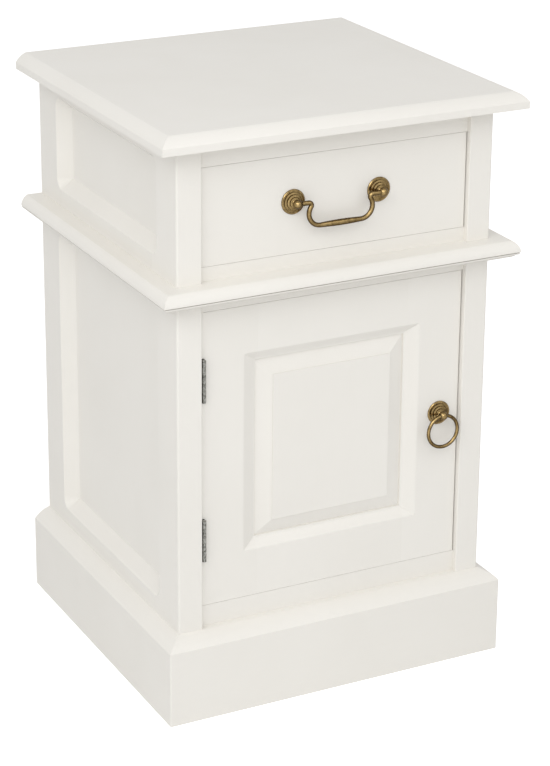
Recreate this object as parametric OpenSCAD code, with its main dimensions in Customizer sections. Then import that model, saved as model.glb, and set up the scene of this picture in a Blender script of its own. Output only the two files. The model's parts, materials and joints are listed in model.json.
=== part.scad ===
// Bedside pot cupboard: a painted wooden cabinet with a drawer over a door.
// Frame-and-panel sides, moulded top, waist and plinth, inset drawer and door,
// two butt hinges, a swinging bail handle and a swinging ring pull.
// Millimetres. +Z up, the front faces -Y, the origin is the middle of the footprint of the top.

/* [Overall] */
// Overall height
total_height = 700; // [690:1:712]
// Width of the top board
top_width = 455; // [445:1:465]
// Depth of the top board, front to back
top_depth = 420; // [408:1:430]

/* [Top board] */
// Thickness of the top board
top_thick = 19; // [18:0.5:22]
// Overhang of the top beyond the case, at the front and both sides
top_overhang = 29; // [27:1:31]
// Width of the moulded part of the top's edge
top_edge_wide = 13; // [11:0.5:15]
// Height of the moulded part of the top's edge
top_edge_high = 10.8; // [9:0.2:12]

/* [Case] */
// Width of a corner post seen from the front
post_face = 30; // [28:1:32]
// Width of a post along the side, up to where the panel's bevel starts
post_flat = 52; // [48:1:55]
// How far the rails, drawer and door stand back from the posts
front_recess = 7; // [6:0.5:9]
// Depth of the front rails, front to back
front_rail_deep = 30; // [28:1:32]
// Thickness of the rear rails
rear_rail_thick = 22; // [20:1:24]
// Radius of the eased corners of the posts
post_ease = 2.5; // [1:0.5:3]

/* [Side panels] */
// Depth of the side panels behind the face of the posts
bevel_deep = 16; // [14:0.5:16.5]
// Width of the bevel around each side panel
bevel_wide = 13; // [11:0.5:14]
// Thickness of a side panel
side_panel_thick = 8; // [6:0.5:8]
// Lower edge of the lower panel's bevel
lower_panel_bottom = 125; // [123:1:128]
// Upper edge of the lower panel's bevel
lower_panel_top = 486; // [480:1:488]
// Lower edge of the upper panel's bevel
upper_panel_bottom = 543; // [541:1:547]
// Upper edge of the upper panel's bevel
upper_panel_top = 657; // [652:1:659]

/* [Waist moulding] */
// Height of the flat top of the waist above the floor
waist_top = 523; // [521.5:0.5:524.5]
// Projection of the waist beyond the case
waist_out = 27; // [24:0.5:29]
// Width of the waist's rounded nose
waist_edge_wide = 8; // [7:0.5:10]
// Height of the waist's rounded nose
waist_edge_high = 12.8; // [12:0.2:13.4]

/* [Plinth] */
// Height of the plinth
plinth_height = 104.5; // [100:0.5:106]
// Thickness of the plinth boards
plinth_thick = 20; // [18:0.5:22]
// Height of the bevelled top edge of the plinth
plinth_edge_high = 12.8; // [11:0.2:14]

/* [Drawer] */
// Lower edge of the drawer opening
drawer_low = 539; // [538:0.5:540]
// Upper edge of the drawer opening
drawer_high = 652.5; // [651:0.5:653]
// Thickness of the drawer front
drawer_front_thick = 20; // [18:0.5:20.5]
// Thickness of the drawer sides
drawer_side_thick = 11; // [10:0.5:13]
// Length of the drawer sides behind the drawer front
drawer_long = 350; // [340:1:352]

/* [Door] */
// Lower edge of the door opening
door_low = 130.2; // [128.5:0.1:131.5]
// Upper edge of the door opening
door_high = 487; // [485.5:0.1:488.5]
// Thickness of the door
door_thick = 20; // [19:0.5:20.5]
// Width of the flat face of a door stile
stile_flat = 53; // [51:0.5:56]
// Width of the flat face of the door's top rail
door_top_flat = 55.5; // [53:0.5:60]
// Width of the flat face of the door's bottom rail
door_bottom_flat = 56.5; // [53:0.5:60]
// Width of the moulded slope on the stiles, around the door panel
slope_wide_x = 18; // [15:0.5:19]
// Width of the moulded slope on the door's rails
slope_wide_z = 13.5; // [12:0.5:16]
// Depth of the slope
slope_deep = 8; // [7:0.5:9]
// Width of the door panel's bevel at its two sides
field_bevel_x = 20.5; // [16:0.5:24]
// Width of the door panel's bevel at its top and bottom
field_bevel_z = 19; // [16:0.5:24]

/* [Hinges] */
// Length of a hinge
hinge_long = 50.8; // [48:0.1:52]
// Height of the middle of the lower hinge
hinge_low_z = 213; // [205:1:220]
// Height of the middle of the upper hinge
hinge_high_z = 407; // [395:1:410]

/* [Handles] */
// Height of the drawer handle's pivots
bail_z = 599.5; // [596:0.5:602]
// Half the distance between the two posts of the drawer handle
bail_half = 54; // [53:1:56]
// Drop of the drawer handle's grip below its pivots
bail_drop = 27.5; // [26:0.5:28]
// Radius of the swan-neck bends beside the grip
bail_bend = 14.5; // [14:0.5:15.5]
// Distance of the ring pull from the middle of the door
ring_x = 141.5; // [139:0.5:143]
// Height of the ring pull's pivot
ring_z = 314; // [304:0.5:324]
// Radius of the middle line of the ring
ring_radius = 19.5; // [17:0.1:20]

/* [Hidden] */

$fn = 48;
eps = 0.01;             // overshoot of a cutting solid
over = 1;               // larger overshoot of a cutting solid
fit = 0.05;             // radial clearance of pins, bolts and screws
gap = 1.3;              // visible gap beside the drawer and the door
gap_z = 0.35;           // visible gap above and below them
slide_gap = 0.3;        // clearance between pieces that slide or close on each other
arc_steps = 14;         // segments of a moulding's rounding
bend_steps = 4;         // segments of a slight bend in a moulding

white = [0.93, 0.92, 0.89];
raw_wood = [0.78, 0.66, 0.48];
ply = [0.83, 0.74, 0.58];
brass = [0.62, 0.47, 0.22];
steel = [0.72, 0.71, 0.68];

// Planes of the case
half_top = top_width / 2;
half_case = half_top - top_overhang;
x_open = half_case - post_face;
y_top_front = -top_depth / 2;
y_back = top_depth / 2;
y_post = y_top_front + top_overhang;
y_rail = y_post + front_recess;
y_rail_back = y_rail + front_rail_deep;
z_case = total_height - top_thick;

// The moulded edges leave their flat tops at these angles
top_edge_start = 20;
waist_edge_start = 28;
plinth_edge_start = 14;
plinth_ease = 2;        // radius of the plinth's two front corners

// Side frames
post_deep = post_flat + bevel_wide;
y_frame_0 = y_post + post_deep;
y_frame_1 = y_back - post_deep;
x_panel = half_case - bevel_deep;
panel_groove = 6;       // depth of the panel grooves
panel_tongue = 5;       // how far a panel enters its groove
tenon_long = 16;        // side rails into posts
tenon_shoulder = 8;     // from a rail's edge to its tenon
slight_ease = 1;        // radius of the posts' other corners

// Front and rear rails
rail_tenon_long = 15;
rail_tenon_thick = 8;
rail_shoulder = 6;      // from a rail's edge to its tenon
rail_bottom = 88;       // lower edge of the base rails, behind the plinth
top_rail_z = upper_panel_top - bevel_wide;
back_thick = 6;
y_rear_rail = y_back - back_thick - rear_rail_thick;
back_rebate = 10;
board_play = 0.2;       // play at the ends of boards inside the case
back_bottom = 90;

// Waist moulding
waist_high = 19.5;
waist_bottom = waist_top - waist_high;
quirk_high = 1.1;       // groove under the nose
quirk_deep = 3;
bead_back = 0.7;        // small round below the groove, behind the nose
bead_r = 2.5;
fillet_back = 4.9;      // upper fillet behind the nose
fillet_step = 2.2;      // lower fillet behind the upper one
fillet_low = 1.3;       // height of the lower fillet

// Floor of the cupboard, dust panel and drawer runners
door_rebate = 2.7;      // the base rail stands this high above the floor
floor_top = door_low - door_rebate;
floor_thick = 10;
housing = 5;            // how far boards are housed in the rails
dust_z = drawer_low - 21;   // in a groove along the middle of the runners
dust_thick = 5;
runner_wide = 22;
runner_high = 25;
stub_long = 6;          // stub of a runner, let into the divider rail
stub_in = 2;            // its two faces, from the post
stub_out = 14;
stub_high = 3;          // its two edges, below the runner's top
stub_low = 15;
kicker_half = 20;
kicker_high = 26;
kicker_tenon_half = 12;
kicker_tenon_long = 8;
kicker_tenon_low = 5;   // edges of the kicker's tenons, above the drawer opening
kicker_tenon_high = 15;
kicker_play = 1.5;      // between the drawer's sides and the kicker

// Drawer box
half_drawer = x_open - gap;
x_side_in = half_drawer - drawer_side_thick;
drawer_front_z0 = drawer_low + gap_z;
drawer_front_z1 = drawer_high - gap_z;
drawer_side_z0 = drawer_low + slide_gap;
drawer_side_z1 = drawer_high - 8.5;     // lower than the drawer front
y_drawer_front_back = y_rail + drawer_front_thick;
y_drawer_end = y_drawer_front_back + drawer_long;
bottom_z = drawer_low + 8;
bottom_thick = 5;
back_inset = 36;        // the drawer's back stands this far inside the ends of its sides
y_drawer_back = y_drawer_end - back_inset;
drawer_back_thick = 10;
back_housing = 4;       // depth of the drawer back's housings in the sides
drawer_back_top = drawer_side_z1 - 1;
tail_long = 12;
tail_root = 9;          // half the height of a dovetail at its root
tail_flare = 2;         // how much each side of it widens
tail_low = 13;          // lowest dovetail's middle, above the drawer opening's lower edge
tail_pitch = 35;
bottom_screw_x = 110;
button_x = 60;
button_long = 22;
button_wide = 14;
button_thick = 10;
button_z = drawer_back_top - 10;
stop_x = 105;
stop_wide = 30;
stop_high = 5;

// Door
half_door = x_open - 1.4;
door_z0 = door_low + gap_z;
door_z1 = door_high - gap_z;
y_door_back = y_rail + door_thick;
x_slope = half_door - stile_flat;
z_slope_0 = door_z0 + door_bottom_flat;
z_slope_1 = door_z1 - door_top_flat;
x_sight = x_slope - slope_wide_x;
z_sight_0 = z_slope_0 + slope_wide_z;
z_sight_1 = z_slope_1 - slope_wide_z;
slope_round = 3.5;      // radius at the outer edge of the slope
slope_hollow = 5;       // radius at the foot of the slope
slope_corner = 6;       // radius of the corners of its outer edge
slope_lip = 2;          // wood between the foot of the slope and the panel's groove
door_tongue = 6;
door_groove = 8;
y_tongue = y_rail + slope_deep + slope_lip;
door_tenon = 30;
door_tenon_shoulder = 11;
field_deep = 2;         // the raised field lies this far behind the door's face
field_step = 0.8;       // height of the small step around the field

// Hinges
knuckle_r = 2.5;
hinge_pin_r = 1.1;
pin_out = 3.8;          // distance of the pin's axis from the post and from the door's face
x_hinge = -x_open + pin_out;
y_hinge = y_rail - pin_out;
leaf_thick = 1.5;
leaf_wide = 21.8;
leaf_clear = 0.4;       // room around the leaves and knuckles in the door's recesses
knuckles = 5;
knuckle_gap = 0.3;
recess_out = 5;         // how far the recesses are cut out past the pin's axis
hinge_screw_x = 12;     // middle screw of a leaf, from the pin's axis
hinge_screw_stagger = 3;
hinge_screw_pitch = 17;

// Screws and bolts
screw_r = 1.7;
screw_head_r = 3.5;
screw_long = 18;
small_screw_r = 1.4;
small_screw_head_r = 2.8;
small_screw_long = 14;
bolt_r = 2;
bolt_head_r = 4;
bolt_head_high = 2.6;
bolt_slot = 1.2;        // width and depth of the slot in its head
bolt_in_post = 7;

// Handles
plate_r = 14.4;
post_out = 12;          // distance of a handle's pivot from the face
post_r = 3.4;
head_r = 5.1;           // ball on the end of a handle's post
bail_pin_r = 1.6;
bail_pin_fit = 0.1;     // radial clearance of the bail's pins in their bores
bail_pin_bore = 5;      // depth of the pin's bore, from the outside of the ball
bail_wire_r = 2.8;
bail_elbow = 3.2;       // radius of the elbows beside the pins
bail_bead_r = 2.85;     // bead where an elbow is brazed to its swan-neck bend
bail_arm_x = 25.5;      // middle of a swan-neck bend, from the middle of the bail
grip_r = 3.6;
ring_wire_r = 2.15;
ring_hole_r = 3.15;
y_pivot = y_rail - post_out;
// Turned profile of a handle's plate from its rim inwards, as [radius, height]: a rim, then three
// steps that rise to the foot of the post, with a fine groove at the foot of each
plate_profile = [
    [plate_r, 0], [plate_r, 1.2], [plate_r - 0.7, 1.9], [plate_r - 2, 1.9],
    [12.1, 1.4], [11.5, 1.4], [11.2, 2.6], [9.6, 3.2],
    [9.3, 2.8], [8.8, 2.8], [8.5, 4.2], [6.8, 4.9],
    [6.5, 4.6], [6.1, 4.6], [5.8, 5.9], [4, 6.6], [post_r, 7.4]
];

// Magnetic catch
catch_z = 426;
catch_half = 15;
catch_ear = 23;
catch_wide = 16;
catch_long = 20;
strike_thick = 1.2;
strike_half_x = 6;
strike_half_z = 12;
strike_x = x_open - 10;
y_catch = y_door_back + strike_thick + slide_gap;
ear_thick = 3;          // the two ears that the catch is screwed on by
ear_deep = 15;
y_ear = y_catch + (catch_long - ear_deep) / 2;
ear_screw_z = 19;       // screw in an ear, from the middle of the catch

// ---------- shared helpers ----------

// Points of an arc about a centre
function arc(c, r, a0, a1, n = arc_steps) =
    [for (i = [0:n]) c + r * [cos(a0 + (a1 - a0) * i / n), sin(a0 + (a1 - a0) * i / n)]];

// A box from its lowest and its highest corner
module box(lo, hi) {
    translate(lo) cube(hi - lo);
}

// An outline drawn in Y and Z, carried along X
module along_x(x0, x1) {
    translate([x0, 0, 0]) rotate([90, 0, 90]) linear_extrude(x1 - x0) children();
}

// An outline drawn in X and Z, carried along Y
module along_y(y0, y1) {
    translate([0, y1, 0]) rotate([90, 0, 0]) linear_extrude(y1 - y0) children();
}

// The same piece on the left (-1) or the right (1) of the case
module on_side(side) {
    mirror([side < 0 ? 1 : 0, 0, 0]) children();
}

// Both sides at once
module both_sides() {
    for (side = [-1, 1]) on_side(side) children();
}

// Cuts a vertical edge at (x, y) to a quarter round that keeps the material towards (dx, dy)
module ease_edge(x, y, dx, dy, r = post_ease) {
    difference() {
        box([min(x, x + dx * r) - (dx > 0 ? over : 0), min(y, y + dy * r) - (dy > 0 ? over : 0), -over],
            [max(x, x + dx * r) + (dx < 0 ? over : 0), max(y, y + dy * r) + (dy < 0 ? over : 0),
             total_height]);
        translate([x + dx * r, y + dy * r, -2 * over]) cylinder(h = total_height + 4 * over, r = r);
    }
}

// A countersunk screw: head at the origin, pointing along -Z
module screw(r, head_r, long) {
    head_high = head_r - r;
    point = 2 * r;
    cross_half = 0.6 * head_r;
    cross_wide = 0.22 * head_r;
    cross_deep = 0.7 * head_high;
    difference() {
        union() {
            translate([0, 0, -head_high]) cylinder(h = head_high, r1 = r, r2 = head_r);
            translate([0, 0, -long + point]) cylinder(h = long - point - head_high, r = r);
            translate([0, 0, -long]) cylinder(h = point, r1 = r / 5, r2 = r);
        }
        for (a = [0, 90]) rotate([0, 0, a])
            box([-cross_half, -cross_wide / 2, -cross_deep], [cross_half, cross_wide / 2, over]);
    }
}

// The hole that such a screw sits in
module screw_hole(r, head_r, long) {
    head_high = head_r - r;
    translate([0, 0, -head_high - fit]) cylinder(h = head_high, r1 = r, r2 = head_r);
    translate([0, 0, -fit - eps]) cylinder(h = over, r = head_r);
    translate([0, 0, -long - slide_gap]) cylinder(h = long, r = r + fit);
}

// ---------- mouldings ----------

// Arc of a moulding that leaves a flat top at the angle a0 and falls outwards, as [outward, height]
function moulded_edge(start, wide, high, a0) =
    let (a = atan2(high, wide) - a0,
         r = norm([wide, high]) / (2 * sin(a)))
    arc(start - r * [sin(a0), cos(a0)], r, 90 - a0, 90 - a0 - 2 * a);

// Edge of the top board from its flat top down
function top_edge() =
    concat(moulded_edge([-top_edge_wide, total_height], top_edge_wide, top_edge_high, top_edge_start),
           [[0, z_case]]);

module top_board() {
    edge = top_edge();
    last = len(edge) - 1;
    color(white) difference() {
        intersection() {
            along_x(-half_top, half_top)
                polygon(concat([[y_back, z_case], [y_back, total_height]],
                               [for (p = edge) [y_top_front - p[0], p[1]]]));
            along_y(y_top_front, y_back)
                polygon(concat([for (p = edge) [half_top + p[0], p[1]]],
                               [for (i = [last:-1:0]) [-half_top - edge[i][0], edge[i][1]]]));
        }
        top_screw_places() screw_hole(screw_r, screw_head_r, screw_long);
    }
}

// Section of the waist moulding, as [outward, height]: a rounded nose, a narrow groove with a
// small round under it, then two fillets that step back
function waist_section(inside) =
    let (z_nose = waist_top - waist_edge_high,
         z_bead = z_nose - quirk_high,
         z_fillet = waist_bottom + fillet_low)
    concat([[inside, waist_bottom], [inside, waist_top]],
           moulded_edge([waist_out - waist_edge_wide, waist_top], waist_edge_wide, waist_edge_high,
                        waist_edge_start),
           [[waist_out - quirk_deep, z_nose], [waist_out - quirk_deep, z_bead]],
           arc([waist_out - bead_back - bead_r, z_bead], bead_r, 0, -90, 6),
           [[waist_out - fillet_back, z_bead - bead_r], [waist_out - fillet_back, z_fillet],
            [waist_out - fillet_back - fillet_step, z_fillet],
            [waist_out - fillet_back - fillet_step, waist_bottom]]);

module waist_moulding_front() {
    x1 = half_case + waist_out;
    y0 = y_post - waist_out;
    color(white) intersection() {
        along_x(-x1, x1)
            polygon([for (p = waist_section(-front_recess)) [y_post - p[0], p[1]]]);
        translate([0, 0, waist_bottom - over]) linear_extrude(waist_high + 2 * over)
            polygon([[-x1, y0], [x1, y0], [half_case, y_post], [x_open, y_post], [x_open, y_rail],
                     [-x_open, y_rail], [-x_open, y_post], [-half_case, y_post]]);
    }
}

module waist_moulding_side(side) {
    x1 = half_case + waist_out;
    color(white) on_side(side) intersection() {
        along_y(y_post - waist_out, y_back)
            polygon([for (p = waist_section(0)) [half_case + p[0], p[1]]]);
        translate([0, 0, waist_bottom - over]) linear_extrude(waist_high + 2 * over)
            polygon([[half_case, y_post], [x1, y_post - waist_out], [x1, y_back], [half_case, y_back]]);
    }
}

// Section of a plinth board, as [outward, height]
function plinth_section(inside) =
    concat([[inside, 0], [inside, plinth_height]],
           moulded_edge([0, plinth_height], plinth_thick, plinth_edge_high, plinth_edge_start),
           [[plinth_thick, 0]]);

module plinth_front() {
    x1 = half_case + plinth_thick;
    y0 = y_post - plinth_thick;
    color(white) difference() {
        intersection() {
            along_x(-x1, x1)
                polygon([for (p = plinth_section(-front_recess)) [y_post - p[0], p[1]]]);
            linear_extrude(plinth_height + over)
                polygon([[-x1, y0], [x1, y0], [half_case, y_post], [x_open, y_post], [x_open, y_rail],
                         [-x_open, y_rail], [-x_open, y_post], [-half_case, y_post]]);
        }
        both_sides() ease_edge(x1, y0, -1, 1, plinth_ease);
    }
}

module plinth_side(side) {
    x1 = half_case + plinth_thick;
    y0 = y_post - plinth_thick;
    color(white) on_side(side) difference() {
        intersection() {
            along_y(y0, y_back)
                polygon([for (p = plinth_section(0)) [half_case + p[0], p[1]]]);
            linear_extrude(plinth_height + over)
                polygon([[half_case, y_post], [x1, y0], [x1, y_back], [half_case, y_back]]);
        }
        ease_edge(x1, y0, -1, 1, plinth_ease);
    }
}

// ---------- side frames, drawn for the right side ----------

// The bevelled opening around one sunk side panel, between the heights z0 and z1
module panel_opening(z0, z1) {
    deeper = bevel_deep + over;
    wider = bevel_wide * deeper / bevel_deep;
    x1 = x_panel + deeper;
    iz0 = z0 + bevel_wide;
    iz1 = z1 - bevel_wide;
    translate([0, 0, iz0]) linear_extrude(iz1 - iz0)
        polygon([[x_panel, y_frame_0], [x1, y_frame_0 - wider], [x1, y_frame_1 + wider],
                 [x_panel, y_frame_1]]);
    along_y(y_frame_0, y_frame_1)
        polygon([[x_panel, iz0], [x1, iz0 - wider], [x1, iz1 + wider], [x_panel, iz1]]);
    for (y = [y_frame_0, y_frame_1], z = [iz0, iz1])
        translate([x_panel, y, z]) rotate([0, 90, 0]) cylinder(h = deeper, r1 = 0, r2 = wider);
    box([x_panel - side_panel_thick, y_frame_0 - panel_groove, iz0 - panel_groove],
        [x_panel, y_frame_1 + panel_groove, iz1 + panel_groove]);
}

module panel_openings() {
    panel_opening(lower_panel_bottom, lower_panel_top);
    panel_opening(upper_panel_bottom, upper_panel_top);
}

// Tenons of a side rail between the heights z0 and z1, or with extra clearance their mortises
module side_tenons(z0, z1, extra = 0) {
    box([x_panel - side_panel_thick, y_frame_0 - tenon_long - extra, z0 + tenon_shoulder],
        [x_panel, y_frame_1 + tenon_long + extra, z1 - tenon_shoulder]);
}

// Lower and upper edges of the three side rails
side_rail_top = [top_rail_z, z_case];
side_rail_waist = [lower_panel_top - bevel_wide, upper_panel_bottom + bevel_wide];
side_rail_base = [rail_bottom, lower_panel_bottom + bevel_wide];

module side_rail(side, span) {
    color(white) on_side(side) difference() {
        union() {
            box([x_open, y_frame_0, span[0]], [half_case, y_frame_1, span[1]]);
            side_tenons(span[0], span[1]);
        }
        panel_openings();
    }
}

module side_panel(side, z0, z1) {
    inset = bevel_wide - panel_tongue;
    color(white) on_side(side)
        box([x_panel - side_panel_thick, y_frame_0 - panel_tongue, z0 + inset],
            [x_panel, y_frame_1 + panel_tongue, z1 - inset]);
}

module side_mortises() {
    for (span = [side_rail_top, side_rail_waist, side_rail_base])
        side_tenons(span[0], span[1], slide_gap);
}

// ---------- front and rear rails ----------

// Tenons of a front or rear rail, or with extra clearance their mortises
module cross_tenons(y, z0, z1, extra = 0) {
    reach = x_open + rail_tenon_long + extra;
    box([-reach, y, z0], [reach, y + rail_tenon_thick, z1]);
}

y_front_tenon = y_rail + (front_rail_deep - rail_tenon_thick) / 2;
y_rear_tenon = y_rear_rail + (rear_rail_thick - rail_tenon_thick) / 2;
// Lower and upper edges of the tenons of each cross rail
front_top_tenon = [drawer_high, z_case] + [1, -1] * rail_shoulder;
front_divider_tenon = [door_high, drawer_low] + [1, -1] * rail_shoulder;
front_base_tenon = [rail_bottom, door_low] + [1, -1] * rail_shoulder;
rear_top_tenon = [top_rail_z, z_case] + [1, -1] * rail_shoulder;
rear_base_tenon = [rail_bottom, door_low] + [1, -1] * rail_shoulder;

module front_mortises() {
    for (t = [front_top_tenon, front_divider_tenon, front_base_tenon])
        cross_tenons(y_front_tenon, t[0], t[1], slide_gap);
}

module rear_mortises() {
    for (t = [rear_top_tenon, rear_base_tenon])
        cross_tenons(y_rear_tenon, t[0], t[1], slide_gap);
}

// Screws that hold the top board, pointing up through the front and rear rails
top_screw_x = 95;
top_screw_deep = 8;     // wood left above the screw's counterbore
back_screw_low = 145;   // height of the lowest screw on each side of the back panel
back_screw_pitch = 120;
back_screw_in = 5;      // from the post's inner face to these screws

module top_screw_places() {
    for (x = [-top_screw_x, top_screw_x],
         y = [y_rail + front_rail_deep / 2, y_rear_rail + rear_rail_thick / 2])
        translate([x, y, z_case - top_screw_deep]) rotate([180, 0, 0]) children();
}

module top_screw_bores() {
    top_screw_places() {
        screw_hole(screw_r, screw_head_r, screw_long);
        cylinder(h = z_case - drawer_high, r = screw_head_r + 1);
    }
}

// Screws that hold the back panel, pointing forward
module back_screw_places() {
    for (side = [-1, 1], i = [0:4])
        translate([side * (x_open + back_screw_in), y_back, back_screw_low + back_screw_pitch * i])
            rotate([-90, 0, 0]) children();
}

// Screws that hold the catch to the right front post
module catch_screw_places() {
    for (side = [-1, 1])
        translate([x_open - ear_thick, y_ear + ear_deep / 2, catch_z + side * ear_screw_z])
            rotate([0, -90, 0]) children();
}

module case_screws() {
    color(steel) {
        top_screw_places() screw(screw_r, screw_head_r, screw_long);
        back_screw_places() screw(screw_r, screw_head_r, screw_long);
        catch_screw_places() screw(screw_r, screw_head_r, screw_long);
    }
}

// ---------- posts ----------

module front_post(side) {
    color(white) difference() {
        on_side(side) difference() {
            box([x_open, y_post, 0], [half_case, y_frame_0, z_case]);
            ease_edge(half_case, y_post, -1, 1);
            ease_edge(x_open, y_post, 1, 1, slight_ease);
            panel_openings();
            side_mortises();
            front_mortises();
        }
        if (side > 0) catch_screw_places() screw_hole(screw_r, screw_head_r, screw_long);
        if (side < 0) hinge_screw_places(-1)
            screw_hole(small_screw_r, small_screw_head_r, small_screw_long);
    }
}

module rear_post(side) {
    color(white) difference() {
        on_side(side) difference() {
            box([x_open, y_frame_1, 0], [half_case, y_back, z_case]);
            ease_edge(half_case, y_back, -1, -1, slight_ease);
            box([x_open - over, y_back - back_thick, back_bottom],
                [x_open + back_rebate, y_back + over, z_case + over]);
            panel_openings();
            side_mortises();
            rear_mortises();
        }
        back_screw_places() screw_hole(screw_r, screw_head_r, screw_long);
    }
}

module front_top_rail() {
    color(white) difference() {
        union() {
            box([-x_open, y_rail, drawer_high], [x_open, y_rail_back, z_case]);
            cross_tenons(y_front_tenon, front_top_tenon[0], front_top_tenon[1]);
        }
        kicker_tenons();
        top_screw_bores();
    }
}

module front_divider_rail() {
    color(white) difference() {
        union() {
            box([-x_open, y_rail, door_high], [x_open, y_rail_back, drawer_low]);
            cross_tenons(y_front_tenon, front_divider_tenon[0], front_divider_tenon[1]);
        }
        dust_board(slide_gap);
        both_sides() runner_stub();
    }
}

module front_base_rail() {
    color(white) difference() {
        union() {
            box([-x_open, y_rail, rail_bottom], [x_open, y_rail_back, door_low]);
            cross_tenons(y_front_tenon, front_base_tenon[0], front_base_tenon[1]);
        }
        floor_board(slide_gap);
    }
}

module rear_top_rail() {
    color(raw_wood) difference() {
        union() {
            box([-x_open, y_rear_rail, top_rail_z], [x_open, y_rear_rail + rear_rail_thick, z_case]);
            cross_tenons(y_rear_tenon, rear_top_tenon[0], rear_top_tenon[1]);
        }
        kicker_tenons();
        top_screw_bores();
    }
}

module rear_base_rail() {
    color(raw_wood) difference() {
        union() {
            box([-x_open, y_rear_rail, rail_bottom], [x_open, y_rear_rail + rear_rail_thick, door_low]);
            cross_tenons(y_rear_tenon, rear_base_tenon[0], rear_base_tenon[1]);
        }
        floor_board(slide_gap);
    }
}

module back_panel() {
    half_back = x_open + back_rebate - board_play;
    color(ply) difference() {
        box([-half_back, y_back - back_thick, back_bottom], [half_back, y_back, z_case]);
        back_screw_places() screw_hole(screw_r, screw_head_r, screw_long);
    }
}

// ---------- inside the case ----------

module floor_board(extra = 0) {
    half = x_open - board_play + extra;
    box([-half, y_rail_back - housing - extra, floor_top - floor_thick],
        [half, y_rear_rail + housing + extra, floor_top]);
}

module cupboard_floor() {
    color(raw_wood) floor_board();
}

module dust_board(extra = 0) {
    half = x_open - runner_wide + housing;
    box([-half - extra, y_rail_back - housing - extra, dust_z],
        [half + extra, y_back - back_thick - board_play + extra, dust_z + dust_thick]);
}

module dust_panel() {
    color(ply) dust_board();
}

// Stub at the front of the right runner, let into the divider rail
module runner_stub() {
    box([x_open - stub_out, y_rail_back - stub_long, drawer_low - stub_low],
        [x_open - stub_in, y_rail_back + over, drawer_low - stub_high]);
}

module drawer_runner(side) {
    color(raw_wood) on_side(side) difference() {
        union() {
            box([x_open - runner_wide, y_rail_back, drawer_low - runner_high],
                [x_open, y_back - back_thick - board_play, drawer_low]);
            runner_stub();
        }
        dust_board(slide_gap);
    }
}

// Both ends of the kicker, let into the front and rear top rails
module kicker_tenons() {
    box([-kicker_tenon_half, y_rail_back - kicker_tenon_long, drawer_high + kicker_tenon_low],
        [kicker_tenon_half, y_rear_rail + kicker_tenon_long, drawer_high + kicker_tenon_high]);
}

module drawer_kicker() {
    z0 = drawer_side_z1 + kicker_play;
    color(raw_wood) {
        kicker_tenons();
        box([-kicker_half, y_rail_back, z0], [kicker_half, y_rear_rail, z0 + kicker_high]);
    }
}

module drawer_stop_blocks() {
    color(raw_wood) for (x = [-stop_x, stop_x])
        box([x - stop_wide / 2, y_drawer_front_back + slide_gap, drawer_low],
            [x + stop_wide / 2, y_rail_back, drawer_low + stop_high]);
}

module magnetic_catch() {
    color(white) difference() {
        union() {
            box([x_open - catch_wide, y_catch, catch_z - catch_half],
                [x_open, y_catch + catch_long, catch_z + catch_half]);
            box([x_open - ear_thick, y_ear, catch_z - catch_ear],
                [x_open, y_ear + ear_deep, catch_z + catch_ear]);
        }
        catch_screw_places() screw_hole(screw_r, screw_head_r, screw_long);
    }
}

// ---------- drawer ----------

// The three dovetails that tie the right drawer side to the front
module drawer_tails() {
    y_tip = y_drawer_front_back - tail_long;
    tip = tail_root + tail_flare;
    for (i = [0:2]) let (z = drawer_low + tail_low + tail_pitch * i)
        along_x(x_side_in, x_side_in + drawer_side_thick)
            polygon([[y_drawer_front_back, z - tail_root], [y_tip, z - tip], [y_tip, z + tip],
                     [y_drawer_front_back, z + tail_root]]);
}

// The bottom board up to y_end; with extra clearance, its grooves
module bottom_board(y_end, extra = 0) {
    half = x_side_in + housing;
    box([-half - extra, y_drawer_front_back - housing - extra, bottom_z],
        [half + extra, y_end, bottom_z + bottom_thick]);
}

module drawer_front() {
    color(white) difference() {
        box([-half_drawer, y_rail, drawer_front_z0], [half_drawer, y_drawer_front_back, drawer_front_z1]);
        both_sides() drawer_tails();
        bottom_board(y_drawer_end, slide_gap);
        handle_bolt_places() bolt_hole();
    }
}

module drawer_side(side) {
    color(raw_wood) on_side(side) difference() {
        union() {
            box([x_side_in, y_drawer_front_back, drawer_side_z0],
                [half_drawer, y_drawer_end, drawer_side_z1]);
            drawer_tails();
        }
        bottom_board(y_drawer_end + over, slide_gap);
        box([x_side_in - over, y_drawer_back, bottom_z + bottom_thick],
            [x_side_in + back_housing + slide_gap, y_drawer_back + drawer_back_thick, drawer_back_top]);
    }
}

module drawer_back() {
    color(raw_wood) difference() {
        box([-x_side_in - back_housing, y_drawer_back, bottom_z + bottom_thick],
            [x_side_in + back_housing, y_drawer_back + drawer_back_thick, drawer_back_top]);
        drawer_screw_places() screw_hole(screw_r, screw_head_r, screw_long);
    }
}

module drawer_bottom() {
    color(ply) difference() {
        bottom_board(y_drawer_back + drawer_back_thick);
        drawer_screw_places() screw_hole(screw_r, screw_head_r, screw_long);
    }
}

// Three screws up through the bottom into the back, and one through the turn button
module drawer_screw_places() {
    for (x = [-bottom_screw_x, 0, bottom_screw_x])
        translate([x, y_drawer_back + drawer_back_thick / 2, bottom_z]) rotate([180, 0, 0]) children();
    translate([button_x, y_drawer_back - button_thick, button_z]) rotate([90, 0, 0]) children();
}

module drawer_screws() {
    color(steel) drawer_screw_places() screw(screw_r, screw_head_r, screw_long);
}

// A wooden button that turns up behind the front rail and keeps the drawer in
module drawer_turn_button() {
    y0 = y_drawer_back - button_thick;
    r = button_wide / 2;
    color(raw_wood) difference() {
        union() {
            box([button_x - r, y0, button_z], [button_x + r, y_drawer_back, button_z + button_long]);
            for (z = [button_z, button_z + button_long])
                translate([button_x, y_drawer_back, z]) rotate([90, 0, 0])
                    cylinder(h = button_thick, r = r);
        }
        drawer_screw_places() screw_hole(screw_r, screw_head_r, screw_long);
    }
}

// ---------- handles ----------

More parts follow.
